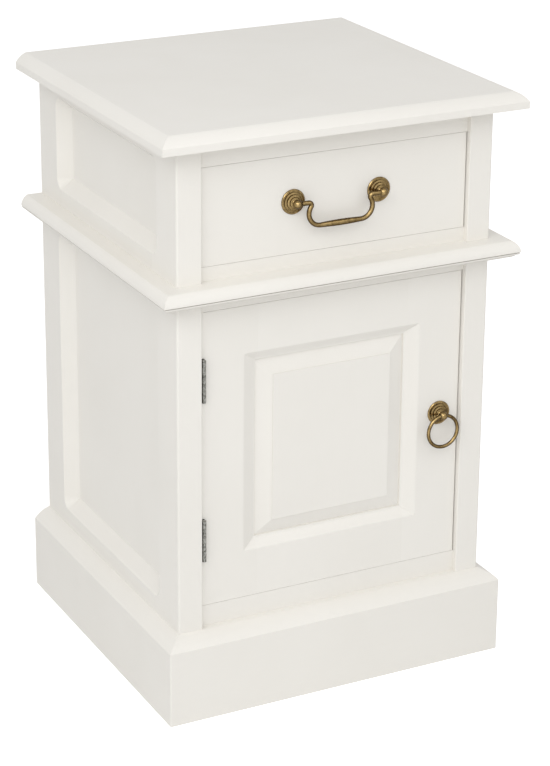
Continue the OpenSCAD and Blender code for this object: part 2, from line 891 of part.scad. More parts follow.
// A turned plate with a post and a ball: stands on the face, its axis towards -Y
module handle_plate() {
    rotate([90, 0, 0]) difference() {
        union() {
            rotate_extrude()
                polygon(concat([[0, 0]], plate_profile, [[post_r, post_out], [0, post_out]]));
            translate([0, 0, post_out]) sphere(r = head_r);
        }
        translate([0, 0, -over]) cylinder(h = bolt_in_post + over + slide_gap, r = bolt_r + fit);
    }
}

// The plate of the drawer handle, with a blind bore for the bail's pin on its inner side
module drawer_handle_plate(side) {
    color(brass) on_side(side) difference() {
        translate([bail_half, y_rail, bail_z]) handle_plate();
        translate([bail_half - head_r - over, y_pivot, bail_z]) rotate([0, 90, 0])
            cylinder(h = bail_pin_bore + over, r = bail_pin_r + bail_pin_fit);
    }
}

// A bolt: head at the origin, pointing along -Z
module bolt(long) {
    difference() {
        union() {
            cylinder(h = bolt_head_high, r = bolt_head_r);
            translate([0, 0, -long]) cylinder(h = long + eps, r = bolt_r);
        }
        box([-bolt_head_r - over, -bolt_slot / 2, bolt_head_high - bolt_slot],
            [bolt_head_r + over, bolt_slot / 2, bolt_head_high + over]);
    }
}

module bolt_hole() {
    deep = 2 * max(drawer_front_thick, door_thick);
    translate([0, 0, -deep]) cylinder(h = deep + over, r = bolt_r + fit);
}

module handle_bolt_places() {
    for (x = [-bail_half, bail_half])
        translate([x, y_drawer_front_back, bail_z]) rotate([-90, 0, 0]) children();
}

module handle_bolts() {
    color(steel) handle_bolt_places() bolt(drawer_front_thick + bolt_in_post);
}

// A stretch of round wire bent about the origin in the plane of X and Z, from angle a0 to a1
module bent_wire(radius, a0, a1) {
    rotate([90, 0, 0]) rotate([0, 0, a0]) rotate_extrude(angle = a1 - a0)
        translate([radius, 0]) circle(r = bail_wire_r);
}

// The swinging bail: two thin pins, two elbows, two swan-neck bends and a swelling grip
module drawer_bail() {
    z_grip = bail_z - bail_drop;
    z_bend = z_grip + bail_bend;
    // each elbow runs straight on into its bend
    rise = bail_z - bail_elbow - z_bend;
    reach = bail_bend + bail_elbow;
    x_elbow = bail_arm_x + sqrt(reach * reach - rise * rise);
    turn = asin(rise / reach);
    // the wire ends just clear of the ball, around the mouth of the pin's bore
    bore_r = bail_pin_r + bail_pin_fit;
    x_end = bail_half - sqrt(head_r * head_r - bore_r * bore_r) - slide_gap;
    pin_end = bail_half - head_r + bail_pin_bore - slide_gap;
    color(brass) translate([0, y_pivot, 0]) {
        both_sides() {
            translate([x_elbow, 0, bail_z]) rotate([0, 90, 0]) {
                cylinder(h = x_end - x_elbow, r = bail_wire_r);
                cylinder(h = pin_end - x_elbow, r = bail_pin_r);
            }
            translate([x_elbow, 0, bail_z - bail_elbow]) bent_wire(bail_elbow, 90, 180 + turn);
            translate([bail_arm_x, 0, z_bend]) {
                bent_wire(bail_bend, -90, turn);
                rotate([0, -turn, 0]) translate([bail_bend, 0, 0]) sphere(r = bail_bead_r);
            }
        }
        translate([0, 0, z_grip]) rotate([0, 90, 0]) grip(bail_arm_x);
    }
}

// The turned grip between the two bends, swelling towards its middle
module grip(half) {
    steps = 16;
    rotate_extrude()
        polygon(concat([[0, -half]],
            [for (i = [0:steps]) let (t = -1 + 2 * i / steps)
                [bail_wire_r + (grip_r - bail_wire_r) * cos(90 * t), half * t]],
            [[0, half]]));
}

module ring_plate() {
    color(brass) difference() {
        translate([ring_x, y_rail, ring_z]) handle_plate();
        translate([ring_x - 2 * head_r, y_pivot, ring_z]) rotate([0, 90, 0])
            cylinder(h = 4 * head_r, r = ring_hole_r);
    }
}

module ring_bolt_place() {
    translate([ring_x, y_door_back, ring_z]) rotate([-90, 0, 0]) children();
}

module ring_bolt() {
    color(steel) ring_bolt_place() bolt(door_thick + bolt_in_post);
}

module door_ring() {
    color(brass) translate([ring_x, y_pivot, ring_z - ring_radius]) rotate([90, 0, 0])
        rotate_extrude() translate([ring_radius, 0]) circle(r = ring_wire_r);
}

// ---------- hinges ----------

knuckle_pitch = hinge_long / knuckles;

// One leaf of a hinge, its knuckles about the origin along Z, its plate towards +Y.
// first is 0 for the leaf with the outer knuckles and 1 for the other; side puts the plate
// against the knuckle's -X or +X side.
module hinge_leaf(first, side, plate_x) {
    others = [for (i = [0:knuckles - 1]) if (i % 2 != first) i];
    own = [for (i = [0:knuckles - 1]) if (i % 2 == first) i];
    z0 = -hinge_long / 2;
    difference() {
        union() {
            for (i = own) translate([0, 0, z0 + i * knuckle_pitch + knuckle_gap / 2])
                cylinder(h = knuckle_pitch - knuckle_gap, r = knuckle_r);
            box([min(plate_x, plate_x + side * leaf_thick), 0, z0],
                [max(plate_x, plate_x + side * leaf_thick), leaf_wide, -z0]);
            // strap that carries each knuckle from the plate
            for (i = own)
                box([min(0, plate_x), 0, z0 + i * knuckle_pitch + knuckle_gap / 2],
                    [max(0, plate_x), leaf_thick, z0 + (i + 1) * knuckle_pitch - knuckle_gap / 2]);
        }
        for (i = others)
            box([-knuckle_r - over, -over, z0 + i * knuckle_pitch - knuckle_gap / 2],
                [knuckle_r + over, knuckle_r + leaf_clear, z0 + (i + 1) * knuckle_pitch + knuckle_gap / 2]);
        translate([0, 0, z0 - over]) cylinder(h = hinge_long + 2 * over, r = hinge_pin_r + fit);
    }
}

module hinge_places() {
    for (z = [hinge_low_z, hinge_high_z]) translate([x_hinge, y_hinge, z]) children();
}

// Inner faces of the two leaves' plates, measured from the pin
post_leaf_x = -pin_out + leaf_thick;
door_leaf_x = knuckle_r - leaf_thick;

// Screws of the hinges: side -1 into the post, 1 into the door
module hinge_screw_places(side) {
    hinge_places() for (i = [-1:1])
        translate([side < 0 ? post_leaf_x : door_leaf_x, hinge_screw_x + hinge_screw_stagger * abs(i),
                   i * hinge_screw_pitch])
            rotate([0, side < 0 ? 90 : -90, 0]) children();
}

module hinge_post_leaves() {
    color(steel) difference() {
        hinge_places() hinge_leaf(0, -1, post_leaf_x);
        hinge_screw_places(-1) screw_hole(small_screw_r, small_screw_head_r, small_screw_long);
    }
}

module hinge_door_leaves() {
    color(steel) difference() {
        hinge_places() hinge_leaf(1, 1, door_leaf_x);
        hinge_screw_places(1) screw_hole(small_screw_r, small_screw_head_r, small_screw_long);
    }
}

module hinge_pins() {
    color(steel) hinge_places() translate([0, 0, -hinge_long / 2])
        cylinder(h = hinge_long, r = hinge_pin_r);
}

module hinge_post_screws() {
    color(steel) hinge_screw_places(-1) screw(small_screw_r, small_screw_head_r, small_screw_long);
}

// The strike's screw is the same kind as the hinge screws
module strike_screw_place() {
    translate([strike_x, y_door_back + strike_thick, catch_z]) rotate([-90, 0, 0]) children();
}

module hinge_door_screws() {
    color(steel) {
        hinge_screw_places(1) screw(small_screw_r, small_screw_head_r, small_screw_long);
        strike_screw_place() screw(small_screw_r, small_screw_head_r, small_screw_long);
    }
}

module catch_strike() {
    color(steel) difference() {
        box([strike_x - strike_half_x, y_door_back, catch_z - strike_half_z],
            [strike_x + strike_half_x, y_door_back + strike_thick, catch_z + strike_half_z]);
        strike_screw_place() screw_hole(small_screw_r, small_screw_head_r, small_screw_long);
    }
}

// ---------- door ----------

// Outline of the wood that a slope removes, as [inward from its outer edge, depth]: rounded over
// at the outer edge, then straight, then hollow at the foot
function slope_cut(wide, reach) =
    let (both = slope_round + slope_hollow,
         a = asin(both / norm([wide, both - slope_deep])) - atan2(both - slope_deep, wide))
    concat([[0, -over]], arc([0, slope_round], slope_round, -90, a - 90, bend_steps),
           arc([wide, slope_deep - slope_hollow], slope_hollow, 90 + a, 90, bend_steps),
           [[reach, slope_deep], [reach, -over]]);

// The moulded opening of the door frame, with the grooves for its panel
module door_opening() {
    half_z = (z_slope_1 - z_slope_0) / 2;
    mid_z = (z_slope_1 + z_slope_0) / 2;
    cut_x = slope_cut(slope_wide_x, x_slope + over);
    cut_z = slope_cut(slope_wide_z, half_z + over);
    intersection() {
        along_x(-x_slope, x_slope) union() {
            polygon([for (p = cut_z) [y_rail + p[1], z_slope_0 + p[0]]]);
            polygon([for (p = cut_z) [y_rail + p[1], z_slope_1 - p[0]]]);
        }
        translate([0, 0, z_slope_0]) linear_extrude(z_slope_1 - z_slope_0) union() {
            polygon([for (p = cut_x) [-x_slope + p[0], y_rail + p[1]]]);
            polygon([for (p = cut_x) [x_slope - p[0], y_rail + p[1]]]);
        }
        translate([0, 0, mid_z]) rounded_slab(x_slope, half_z, slope_corner);
    }
    box([-x_sight, y_rail, z_sight_0], [x_sight, y_door_back + over, z_sight_1]);
    box([-x_sight - door_groove, y_tongue, z_sight_0 - door_groove],
        [x_sight + door_groove, y_tongue + door_tongue, z_sight_1 + door_groove]);
}

// A slab across the door's thickness with rounded corners
module rounded_slab(half_x, half_z, r) {
    y0 = y_rail - 2 * over;
    y1 = y_rail + slope_deep + over;
    box([-half_x + r, y0, -half_z], [half_x - r, y1, half_z]);
    box([-half_x, y0, -half_z + r], [half_x, y1, half_z - r]);
    for (x = [-half_x + r, half_x - r], z = [-half_z + r, half_z - r])
        translate([x, y1, z]) rotate([90, 0, 0]) cylinder(h = y1 - y0, r = r);
}

// Tenons of a door rail, or with extra clearance their mortises
module door_tenons(z0, z1, extra = 0) {
    reach = x_sight + door_tenon + extra;
    box([-reach, y_tongue, z0], [reach, y_tongue + door_tongue, z1]);
}

door_top_tenon = [z_sight_1 + door_tenon_shoulder, door_z1 - door_tenon_shoulder];
door_bottom_tenon = [door_z0 + door_tenon_shoulder, z_sight_0 - door_tenon_shoulder];

module door_stile(side) {
    color(white) difference() {
        on_side(side) difference() {
            box([x_sight, y_rail, door_z0], [half_door, y_door_back, door_z1]);
            door_opening();
            for (t = [door_top_tenon, door_bottom_tenon]) door_tenons(t[0], t[1], slide_gap);
        }
        if (side < 0) {
            // recesses that take the hinge leaves and clear the knuckles
            hinge_places()
                box([-recess_out, -recess_out, -hinge_long / 2 - leaf_clear],
                    [knuckle_r, leaf_wide + leaf_clear, hinge_long / 2 + leaf_clear]);
            hinge_screw_places(1) screw_hole(small_screw_r, small_screw_head_r, small_screw_long);
        }
        if (side > 0) {
            ring_bolt_place() bolt_hole();
            strike_screw_place() screw_hole(small_screw_r, small_screw_head_r, small_screw_long);
        }
    }
}

module door_rail(z0, z1, tenon) {
    color(white) difference() {
        union() {
            box([-x_sight, y_rail, z0], [x_sight, y_door_back, z1]);
            door_tenons(tenon[0], tenon[1]);
        }
        door_opening();
    }
}

// Front of the raised panel from its middle to one edge, as [distance from the middle, y]
function panel_front(half_sight, bevel) =
    let (y_field = y_rail + field_deep, tongue = half_sight + door_groove - 1)
    [[half_sight - bevel, y_field], [half_sight - bevel, y_field + field_step],
     [half_sight, y_tongue], [tongue, y_tongue], [tongue, y_tongue + door_tongue]];

// Whole outline of the raised panel across its width or its height
function panel_outline(half_sight, bevel) =
    let (front = panel_front(half_sight, bevel), last = len(front) - 1)
    concat(front, [for (i = [last:-1:0]) [-front[i][0], front[i][1]]]);

module door_panel() {
    mid_z = (z_sight_0 + z_sight_1) / 2;
    half_z = (z_sight_1 - z_sight_0) / 2;
    reach_x = x_sight + door_groove;
    reach_z = half_z + door_groove;
    color(white) intersection() {
        translate([0, 0, mid_z - reach_z]) linear_extrude(2 * reach_z)
            polygon(panel_outline(x_sight, field_bevel_x));
        along_x(-reach_x, reach_x)
            polygon([for (p = panel_outline(half_z, field_bevel_z)) [p[1], mid_z + p[0]]]);
    }
}

// ---------- the pieces ----------

top_board();
front_post(-1);  // front_post_left
front_post(1);  // front_post_right
rear_post(-1);  // rear_post_left
rear_post(1);  // rear_post_right
side_rail(-1, side_rail_top);  // side_top_rail_left
side_rail(1, side_rail_top);  // side_top_rail_right
side_rail(-1, side_rail_waist);  // side_waist_rail_left
side_rail(1, side_rail_waist);  // side_waist_rail_right
side_rail(-1, side_rail_base);  // side_base_rail_left
side_rail(1, side_rail_base);  // side_base_rail_right
side_panel(-1, upper_panel_bottom, upper_panel_top);  // side_upper_panel_left
side_panel(1, upper_panel_bottom, upper_panel_top);  // side_upper_panel_right
side_panel(-1, lower_panel_bottom, lower_panel_top);  // side_lower_panel_left
side_panel(1, lower_panel_bottom, lower_panel_top);  // side_lower_panel_right
front_top_rail();
front_divider_rail();
front_base_rail();
rear_top_rail();
rear_base_rail();
back_panel();
waist_moulding_front();
waist_moulding_side(-1);  // waist_moulding_left
waist_moulding_side(1);  // waist_moulding_right
plinth_front();
plinth_side(-1);  // plinth_left
plinth_side(1);  // plinth_right
dust_panel();
drawer_runner(-1);  // drawer_runner_left
drawer_runner(1);  // drawer_runner_right
drawer_kicker();
drawer_stop_blocks();
cupboard_floor();
case_screws();
hinge_post_leaves();
hinge_pins();
hinge_post_screws();
magnetic_catch();
drawer_front();
drawer_side(-1);  // drawer_side_left
drawer_side(1);  // drawer_side_right
drawer_back();
drawer_bottom();
drawer_turn_button();
drawer_screws();
drawer_handle_plate(-1);  // handle_plate_left
drawer_handle_plate(1);  // handle_plate_right
handle_bolts();
drawer_bail();
door_stile(-1);  // door_stile_left
door_stile(1);  // door_stile_right
door_rail(z_sight_1, door_z1, door_top_tenon);  // door_rail_top
door_rail(door_z0, z_sight_0, door_bottom_tenon);  // door_rail_bottom
door_panel();
hinge_door_leaves();
hinge_door_screws();
ring_plate();
ring_bolt();
catch_strike();
door_ring();
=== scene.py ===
"""Finishes and stage of a painted bedside pot cupboard, laid out as an add-on."""
import json
import math

import bmesh
import bpy
from bpy.props import FloatProperty, FloatVectorProperty, PointerProperty
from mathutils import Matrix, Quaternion, Vector


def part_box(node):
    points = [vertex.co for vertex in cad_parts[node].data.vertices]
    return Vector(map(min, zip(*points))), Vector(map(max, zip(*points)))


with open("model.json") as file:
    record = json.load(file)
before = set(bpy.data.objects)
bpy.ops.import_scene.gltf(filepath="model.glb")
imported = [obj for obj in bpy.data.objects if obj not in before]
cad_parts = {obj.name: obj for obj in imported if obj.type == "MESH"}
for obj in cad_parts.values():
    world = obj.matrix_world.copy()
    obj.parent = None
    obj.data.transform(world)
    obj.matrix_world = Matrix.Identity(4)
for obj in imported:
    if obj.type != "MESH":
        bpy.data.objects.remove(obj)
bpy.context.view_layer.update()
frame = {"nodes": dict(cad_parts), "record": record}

bl_info = {
    "name": "Bedside Pot Cupboard",
    "version": (1, 0, 0),
    "blender": (4, 5, 0),
    "location": "3D View > Sidebar > Cupboard",
    "description": "Paints and dresses a bedside pot cupboard and sets its stage",
    "category": "Object",
}


# ---------------------------------------------------------------- settings


class PaintSettings(bpy.types.PropertyGroup):
    """Satin paint on the case, the door and the drawer front."""

    colour: FloatVectorProperty(
        name="Paint",
        description="Colour of the paint on open faces",
        subtype="COLOR",
        size=3,
        min=0,
        max=1,
        default=(0.868, 0.845, 0.795),
    )
    shade: FloatVectorProperty(
        name="Shaded paint",
        description="Colour that the paint drifts to where it lies thicker",
        subtype="COLOR",
        size=3,
        min=0,
        max=1,
        default=(0.835, 0.81, 0.757),
    )
    rubbed: FloatVectorProperty(
        name="Rubbed arris",
        description="Colour where the paint is thin along sharp edges",
        subtype="COLOR",
        size=3,
        min=0,
        max=1,
        default=(0.80, 0.765, 0.69),
    )
    # dust colour, also painted into corners and gaps as the shade that falls there
    dust: FloatVectorProperty(
        name="Dust",
        description="Colour that gathers in corners and gaps",
        subtype="COLOR",
        size=3,
        min=0,
        max=1,
        default=(0.50, 0.46, 0.38),
    )
    brush_mark: FloatProperty(
        name="Brush mark",
        description="Width of one brush mark",
        subtype="DISTANCE",
        unit="LENGTH",
        min=0.0002,
        max=0.01,
        precision=5,
        default=0.0012,
    )
    roughness: FloatProperty(
        name="Roughness",
        description="Roughness of the satin film",
        min=0.05,
        max=1,
        default=0.42,
    )


class WoodSettings(bpy.types.PropertyGroup):
    """Bare pine and plywood inside and behind."""

    pine: FloatVectorProperty(
        name="Pine",
        description="Pale early wood of the pine",
        subtype="COLOR",
        size=3,
        min=0,
        max=1,
        default=(0.66, 0.47, 0.27),
    )
    pine_late: FloatVectorProperty(
        name="Pine rings",
        description="Darker late wood of the pine",
        subtype="COLOR",
        size=3,
        min=0,
        max=1,
        default=(0.46, 0.27, 0.12),
    )
    ply: FloatVectorProperty(
        name="Plywood",
        description="Pale part of the plywood's face",
        subtype="COLOR",
        size=3,
        min=0,
        max=1,
        default=(0.66, 0.51, 0.33),
    )
    ply_late: FloatVectorProperty(
        name="Plywood figure",
        description="Darker figure of the plywood's face",
        subtype="COLOR",
        size=3,
        min=0,
        max=1,
        default=(0.52, 0.37, 0.21),
    )
    ring_width: FloatProperty(
        name="Ring width",
        description="Distance between two growth rings",
        subtype="DISTANCE",
        unit="LENGTH",
        min=0.001,
        max=0.03,
        precision=4,
        default=0.0065,
    )


class BrassSettings(bpy.types.PropertyGroup):
    """Aged brass of the drawer handle and the ring pull."""

    bright: FloatVectorProperty(
        name="Bright brass",
        description="Colour of rubbed brass",
        subtype="COLOR",
        size=3,
        min=0,
        max=1,
        default=(0.74, 0.53, 0.24),
    )
    dark: FloatVectorProperty(
        name="Aged brass",
        description="Colour of the brown patina",
        subtype="COLOR",
        size=3,
        min=0,
        max=1,
        default=(0.095, 0.057, 0.018),
    )
    cloud: FloatProperty(
        name="Cloud size",
        description="Size of the lighter and darker patches",
        subtype="DISTANCE",
        unit="LENGTH",
        min=0.0005,
        max=0.05,
        precision=4,
        default=0.005,
    )


class SteelSettings(bpy.types.PropertyGroup):
    """Zinc-plated hinges, screws and bolts, and the plastic catch."""

    zinc: FloatVectorProperty(
        name="Zinc",
        description="Colour of the dull plating",
        subtype="COLOR",
        size=3,
        min=0,
        max=1,
        default=(0.72, 0.72, 0.68),
    )
    tarnish: FloatVectorProperty(
        name="Tarnish",
        description="Colour of the darker spangles",
        subtype="COLOR",
        size=3,
        min=0,
        max=1,
        default=(0.075, 0.072, 0.055),
    )
    plastic: FloatVectorProperty(
        name="Plastic",
        description="Colour of the moulded catch",
        subtype="COLOR",
        size=3,
        min=0,
        max=1,
        default=(0.78, 0.78, 0.75),
    )


class StageSettings(bpy.types.PropertyGroup):
    """Floor, lamps and camera."""

    eye: FloatVectorProperty(
        name="Camera place",
        description="Where the camera stands",
        subtype="XYZ",
        unit="LENGTH",
        size=3,
        default=(-1.2297, -2.4100, 1.3889),
    )
    aim: FloatVectorProperty(
        name="Camera aim",
        description="Point on the camera's axis",
        subtype="XYZ",
        unit="LENGTH",
        size=3,
        default=(-0.0163, 0.0, 0.4628),
    )
    roll: FloatProperty(
        name="Camera roll",
        description="Turn of the camera about its axis",
        subtype="ANGLE",
        unit="ROTATION",
        default=math.radians(-0.279),
    )
    lens: FloatProperty(
        name="Lens",
        description="Focal length on a 36 mm sensor",
        subtype="DISTANCE_CAMERA",
        unit="CAMERA",
        min=20,
        max=300,
        default=112.99,
    )
    rise: FloatVectorProperty(
        name="Shift",
        description="Sideways and upward shift of the camera",
        size=2,
        min=-0.2,
        max=0.2,
        default=(0.0300, -0.1501),
    )
    ambient: FloatProperty(
        name="Ambient",
        description="Strength of the light from all around",
        min=0,
        max=2,
        default=0.68,
    )
    left_lamp: FloatProperty(
        name="Left softbox",
        description="Power of the high softbox at the left",
        subtype="POWER",
        unit="POWER",
        min=0,
        max=500,
        default=18,
    )
    front_lamp: FloatProperty(
        name="Front softbox",
        description="Power of the high softbox at the front",
        subtype="POWER",
        unit="POWER",
        min=0,
        max=500,
        default=13.5,
    )
    low_lamp: FloatProperty(
        name="Low softbox",
        description="Power of the low softbox at the front left",
        subtype="POWER",
        unit="POWER",
        min=0,
        max=500,
        default=8,
    )
    right_lamp: FloatProperty(
        name="Right softbox",
        description="Power of the softbox at the front right",
        subtype="POWER",
        unit="POWER",
        min=0,
        max=500,
        default=4.5,
    )
    floor: FloatVectorProperty(
        name="Floor",
        description="Colour of the floor",
        subtype="COLOR",
        size=3,
        min=0,
        max=1,
        default=(0.82, 0.82, 0.82),
    )


class CupboardSettings(bpy.types.PropertyGroup):
    """Everything that can be changed before the operators run."""

    paint: PointerProperty(type=PaintSettings, name="Paint", description="Satin paint")
    wood: PointerProperty(type=WoodSettings, name="Wood", description="Bare wood")
    brass: PointerProperty(type=BrassSettings, name="Brass", description="Aged brass")
    steel: PointerProperty(type=SteelSettings, name="Steel", description="Plated steel")
    stage: PointerProperty(type=StageSettings, name="Stage", description="Stage")


# ---------------------------------------------------------------- node helpers


def put(tree, kind, inputs=None, **settings):
    """Adds a node. A value of inputs is a number, a colour or the socket that feeds it."""
    node = tree.nodes.new(kind)
    for name, value in settings.items():
        setattr(node, name, value)
    for name, value in (inputs or {}).items():
        if isinstance(value, bpy.types.NodeSocket):
            tree.links.new(value, node.inputs[name])
        else:
            node.inputs[name].default_value = value
    return node


def calc(tree, operation, *values, clamp=False):
    """One sum on numbers or sockets."""
    node = put(tree, "ShaderNodeMath", dict(enumerate(values)), operation=operation, use_clamp=clamp)
    return node.outputs[0]


def between(tree, value, low, high, to_low=0.0, to_high=1.0):
    """Carries value from the range low to high to another range, and holds it inside."""
    node = put(tree, "ShaderNodeMapRange", {
        "Value": value, "From Min": low, "From Max": high, "To Min": to_low, "To Max": to_high})
    return node.outputs["Result"]


def mix_colour(tree, factor, first, second):
    """The first colour where factor is 0, the second where it's 1."""
    node = put(tree, "ShaderNodeMix", data_type="RGBA")
    # a mix node numbers its sockets for every kind of data, and the colours are 6, 7 and 2
    for index, value in ((0, factor), (6, first), (7, second)):
        if isinstance(value, bpy.types.NodeSocket):
            tree.links.new(value, node.inputs[index])
        else:
            node.inputs[index].default_value = value
    return node.outputs[2]


def scaled(tree, vector, factors):
    node = put(tree, "ShaderNodeVectorMath", {0: vector, 1: factors}, operation="MULTIPLY")
    return node.outputs[0]


def noise(tree, vector, scale, detail=2.0, roughness=0.5, distortion=0.0):
    """A cloudy pattern with this many lumps to the metre."""
    node = put(tree, "ShaderNodeTexNoise", {
        "Vector": vector, "Scale": scale, "Detail": detail, "Roughness": roughness,
        "Distortion": distortion})
    return node.outputs["Fac"]


def rgba(colour):
    return (*colour, 1.0)


KINDS = {"value": "NodeSocketFloat", "colour": "NodeSocketColor", "vector": "NodeSocketVector"}


def new_group(name, inputs, outputs):
    """An empty shader group. inputs holds (name, kind, default), outputs holds (name, kind)."""
    tree = bpy.data.node_groups.new(name, "ShaderNodeTree")
    for label, kind, default in inputs:
        socket = tree.interface.new_socket(name=label, in_out="INPUT", socket_type=KINDS[kind])
        socket.default_value = default
    for label, kind in outputs:
        tree.interface.new_socket(name=label, in_out="OUTPUT", socket_type=KINDS[kind])
    start = tree.nodes.new("NodeGroupInput")
    end = tree.nodes.new("NodeGroupOutput")
    return tree, start.outputs, end


def finish_group(tree, end, **results):
    for name, socket in results.items():
        tree.links.new(socket, end.inputs[name.capitalize()])


def use_group(tree, build, inputs=None):
    """Places a group in a material, and builds the group the first time."""
    group = bpy.data.node_groups.get(build.__name__) or build(build.__name__)
    return put(tree, "ShaderNodeGroup", inputs, node_tree=group).outputs


# ---------------------------------------------------------------- shared effects

# cosines of the turn between a face and its rounded edge, where wear starts and where it's full
WEAR_STARTS, WEAR_FULL = 0.985, 0.80
WEAR_LEAST = 0.25  # wear left where an edge was hardly touched
WEAR_PATCHES = 160  # patches of wear to the metre
# share of the sky that a corner still sees, where the painted corner shade starts and where it's full
CORNER_SHADE_STARTS, CORNER_SHADE_FULL = 0.95, 0.35

MARK_STRETCH = 0.045  # width of a brush mark over its length
MARK_SHOWS, CLOUD_SHOWS = 0.18, 0.55  # how far marks and clouds carry the paint to its shade
PEEL_LUMPS, PAINT_CLOUDS = 620, 6.5  # to the metre
MARK_HEIGHT, PEEL_HEIGHT = 0.7, 0.3

PITH = (0, 0.14, -0.09)  # from the heart of the tree to the board
TRUNK_STRETCH = 0.35  # how slowly the rings wander along the board
WANDER_LUMPS, WANDER_REACH = 5, 0.045
RING_SHARP = 3.0  # narrows the late wood
RING_SHOWS, FIBRE_SHOWS, FLECK_SHOWS = 0.62, 0.35, 0.25
FIBRE_STRETCH, FIBRE_LUMPS = 0.02, 1400
FLECK_STRETCH, FLECK_LUMPS = 0.06, 260
FIBRE_HEIGHT, RING_HEIGHT = 0.5, 0.3

SPECK_FINENESS = 9.0  # specks to one cloud of tarnish
PATINA_LEAST = 0.3  # tarnish on an open face
# how far dirt and painted shade darken the metal, and how far rubbing cleans it
DIRT_AND_SHADE_SHOWS, RUB_SHOWS = 0.8, 0.7
METAL_CLEAN_ROUGH, METAL_DARK_ROUGH = 0.14, 0.36


def worn_edges(name):
    """Mask that is 1 along sharp edges and 0 on open faces."""
    tree, inp, end = new_group(
        name,
        [("Width", "value", 0.001), ("Breakup", "value", 0.5), ("Vector", "vector", (0, 0, 0))],
        [("Mask", "value")],
    )
    rounded = put(tree, "ShaderNodeBevel", {"Radius": inp["Width"]}, samples=6)
    true = put(tree, "ShaderNodeNewGeometry")
    turn = put(tree, "ShaderNodeVectorMath", {0: rounded.outputs[0], 1: true.outputs["Normal"]},
               operation="DOT_PRODUCT")
    edge = between(tree, turn.outputs["Value"], WEAR_STARTS, WEAR_FULL)
    patch = noise(tree, inp["Vector"], WEAR_PATCHES, 3, 0.6)
    keep = between(tree, patch, 0.35, 0.65, WEAR_LEAST, 1.0)
    kept = put(tree, "ShaderNodeMix", {0: inp["Breakup"], 2: 1.0, 3: keep}, data_type="FLOAT")
    finish_group(tree, end, mask=calc(tree, "MULTIPLY", edge, kept.outputs[0]))
    return tree


def crevices(name):
    """Painted shade: a mask that is 1 deep in a piece's own corners, where little light reaches, and 0
    on open faces.
    """
    tree, inp, end = new_group(name, [("Reach", "value", 0.01)], [("Mask", "value")])
    # ambient occlusion: the shade in a corner, painted into the colour
    open_sky = put(tree, "ShaderNodeAmbientOcclusion", {"Distance": inp["Reach"]},
                   samples=8, only_local=True)
    finish_group(tree, end, mask=between(tree, open_sky.outputs["AO"], CORNER_SHADE_STARTS, CORNER_SHADE_FULL))
    return tree


def paint_film(name):
    """Brushed satin paint, its marks running along X of the vector."""
    tree, inp, end = new_group(
        name,
        [("Vector", "vector", (0, 0, 0)), ("Paint", "colour", (0.8, 0.8, 0.8, 1)),
         ("Shade", "colour", (0.7, 0.7, 0.7, 1)), ("Mark", "value", 0.001),
         ("Roughness", "value", 0.4)],
        [("Colour", "colour"), ("Roughness", "value"), ("Height", "value")],
    )
    per_metre = calc(tree, "DIVIDE", 1.0, inp["Mark"])
    drawn = scaled(tree, inp["Vector"], (MARK_STRETCH, 1, 1))
    marks = noise(tree, drawn, per_metre, 3, 0.62)
    peel = noise(tree, inp["Vector"], PEEL_LUMPS)
    clouds = noise(tree, inp["Vector"], PAINT_CLOUDS, 3, 0.55, 0.4)
    drift = between(tree, clouds, 0.35, 0.7, 0.0, CLOUD_SHOWS)
    streak = between(tree, marks, 0.35, 0.75, 0.0, MARK_SHOWS)
    shade = calc(tree, "ADD", drift, streak, clamp=True)
    colour = mix_colour(tree, shade, inp["Paint"], inp["Shade"])
    uneven = calc(tree, "ADD", between(tree, marks, 0.3, 0.7, -0.04, 0.05),
                  between(tree, clouds, 0.3, 0.7, -0.03, 0.03))
    rough = calc(tree, "ADD", inp["Roughness"], uneven, clamp=True)
    height = calc(tree, "ADD", calc(tree, "MULTIPLY", marks, MARK_HEIGHT),
                  calc(tree, "MULTIPLY", peel, PEEL_HEIGHT))
    finish_group(tree, end, colour=colour, roughness=rough, height=height)
    return tree


def wood_figure(name):
    """Growth rings and fibres that run along X of the vector."""
    tree, inp, end = new_group(
        name,
        [("Vector", "vector", (0, 0, 0)), ("Early", "colour", (0.7, 0.5, 0.3, 1)),
         ("Late", "colour", (0.5, 0.3, 0.1, 1)), ("Ring", "value", 0.006)],
        [("Colour", "colour"), ("Roughness", "value"), ("Height", "value")],
    )
    # the pith lies outside the board, and wanders along it
    moved = put(tree, "ShaderNodeVectorMath", {0: inp["Vector"], 1: PITH}, operation="ADD")
    wander = noise(tree, scaled(tree, moved.outputs[0], (TRUNK_STRETCH, 1, 1)), WANDER_LUMPS)
    across = scaled(tree, moved.outputs[0], (0, 1, 1))
    far = put(tree, "ShaderNodeVectorMath", {0: across}, operation="LENGTH").outputs["Value"]
    radius = calc(tree, "ADD", far, calc(tree, "MULTIPLY", wander, WANDER_REACH))
    phase = calc(tree, "MULTIPLY", calc(tree, "DIVIDE", radius, inp["Ring"]), 2 * math.pi)
    band = calc(tree, "POWER", between(tree, calc(tree, "SINE", phase), -1, 1), RING_SHARP)
    fibres = noise(tree, scaled(tree, inp["Vector"], (FIBRE_STRETCH, 1, 1)), FIBRE_LUMPS, 3, 0.7)
    flecks = noise(tree, scaled(tree, inp["Vector"], (FLECK_STRETCH, 1, 1)), FLECK_LUMPS)
    tone = calc(tree, "ADD", calc(tree, "MULTIPLY", band, RING_SHOWS),
                between(tree, fibres, 0.3, 0.75, 0.0, FIBRE_SHOWS), clamp=True)
    tone = calc(tree, "ADD", tone, between(tree, flecks, 0.62, 0.8, 0.0, FLECK_SHOWS), clamp=True)
    colour = mix_colour(tree, tone, inp["Early"], inp["Late"])
    rough = between(tree, fibres, 0.3, 0.7, 0.52, 0.72)
    height = calc(tree, "SUBTRACT", calc(tree, "MULTIPLY", fibres, FIBRE_HEIGHT),
                  calc(tree, "MULTIPLY", band, RING_HEIGHT))
    finish_group(tree, end, colour=colour, roughness=rough, height=height)
    return tree


